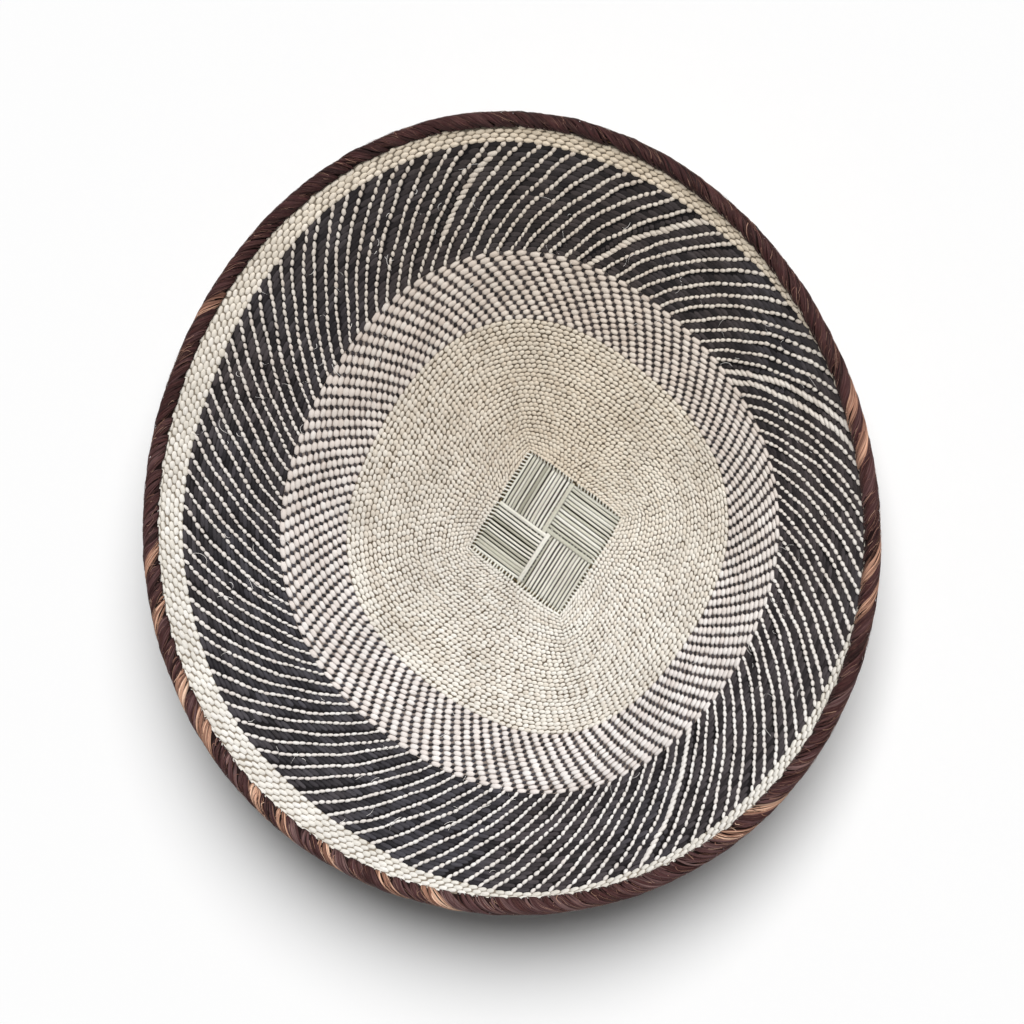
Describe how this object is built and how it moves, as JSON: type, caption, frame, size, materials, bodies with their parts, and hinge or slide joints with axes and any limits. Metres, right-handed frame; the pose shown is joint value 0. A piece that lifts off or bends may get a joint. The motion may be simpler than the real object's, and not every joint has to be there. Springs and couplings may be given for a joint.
{
  "type": "woven wall plate",
  "caption": "Shallow twined bowl used as a wall plate, with a square plaited base, a checkered ring, a dark band with fine swirling lines and a bound rim.",
  "frame": {"origin": "on the resting plane, under the middle of the rim's outline seen from above", "axes": "+Z out of the open bowl, away from the wall it hangs on; +Y up when it hangs; +X to the viewer's right"},
  "size_m": [0.4498, 0.4498, 0.0667],
  "materials": {
    "palm_strip": "matte plaited palm-leaf strip, greenish cream",
    "warp_palm": "matte palm-leaf strip",
    "weft_cream": "matte twined palm-leaf strip, cream",
    "weft_checker": "matte twined palm-leaf strip, cream with small dark stitches",
    "weft_charcoal": "matte dyed palm-leaf strip, charcoal with thin cream lines",
    "weft_border": "matte twined palm-leaf strip, pale cream",
    "hoop_wood": "split cane, matte",
    "binding_bark": "dark brown bark strip, satin with fibres",
    "binding_tan": "tan bark strip, satin with fibres"
  },
  "bodies": {
    "root": {"base_strips_a1_1": "palm_strip", "base_strips_a1_2": "palm_strip", "base_strips_a1_3": "palm_strip", "base_strips_a1_4": "palm_strip", "base_strips_a1_5": "palm_strip", "base_strips_a1_6": "palm_strip", "base_strips_a1_7": "palm_strip", "base_strips_a2_1": "palm_strip", "base_strips_a2_2": "palm_strip", "base_strips_a2_3": "palm_strip", "base_strips_a2_4": "palm_strip", "base_strips_a2_5": "palm_strip", "base_strips_a2_6": "palm_strip", "base_strips_a2_7": "palm_strip", "base_strips_b1_1": "palm_strip", "base_strips_b1_2": "palm_strip", "base_strips_b1_3": "palm_strip", "base_strips_b1_4": "palm_strip", "base_strips_b1_5": "palm_strip", "base_strips_b1_6": "palm_strip", "base_strips_b1_7": "palm_strip", "base_strips_b2_1": "palm_strip", "base_strips_b2_2": "palm_strip", "base_strips_b2_3": "palm_strip", "base_strips_b2_4": "palm_strip", "base_strips_b2_5": "palm_strip", "base_strips_b2_6": "palm_strip", "base_strips_b2_7": "palm_strip", "rim_binding_bark_1": "binding_bark", "rim_binding_bark_2": "binding_bark", "rim_binding_bark_3": "binding_bark", "rim_binding_bark_4": "binding_bark", "rim_binding_bark_5": "binding_bark", "rim_binding_bark_6": "binding_bark", "rim_binding_bark_7": "binding_bark", "rim_binding_tan_1": "binding_tan", "rim_binding_tan_2": "binding_tan", "rim_binding_tan_3": "binding_tan", "rim_binding_tan_4": "binding_tan", "rim_binding_tan_5": "binding_tan", "rim_binding_tan_6": "binding_tan", "rim_binding_tan_7": "binding_tan", "rim_hoop": "hoop_wood", "warp_fan_1": "warp_palm", "warp_fan_2": "warp_palm", "warp_fan_3": "warp_palm", "warp_fan_4": "warp_palm", "warp_fan_5": "warp_palm", "warp_fan_6": "warp_palm", "warp_fan_7": "warp_palm", "warp_fan_8": "warp_palm", "weft_border_inner": "weft_border", "weft_border_outer": "weft_border", "weft_centre_inner": "weft_cream", "weft_centre_outer": "weft_cream", "weft_checker_inner": "weft_checker", "weft_checker_outer": "weft_checker", "weft_dark_inner": "weft_charcoal", "weft_dark_outer": "weft_charcoal"}
  },
  "joints": []
}
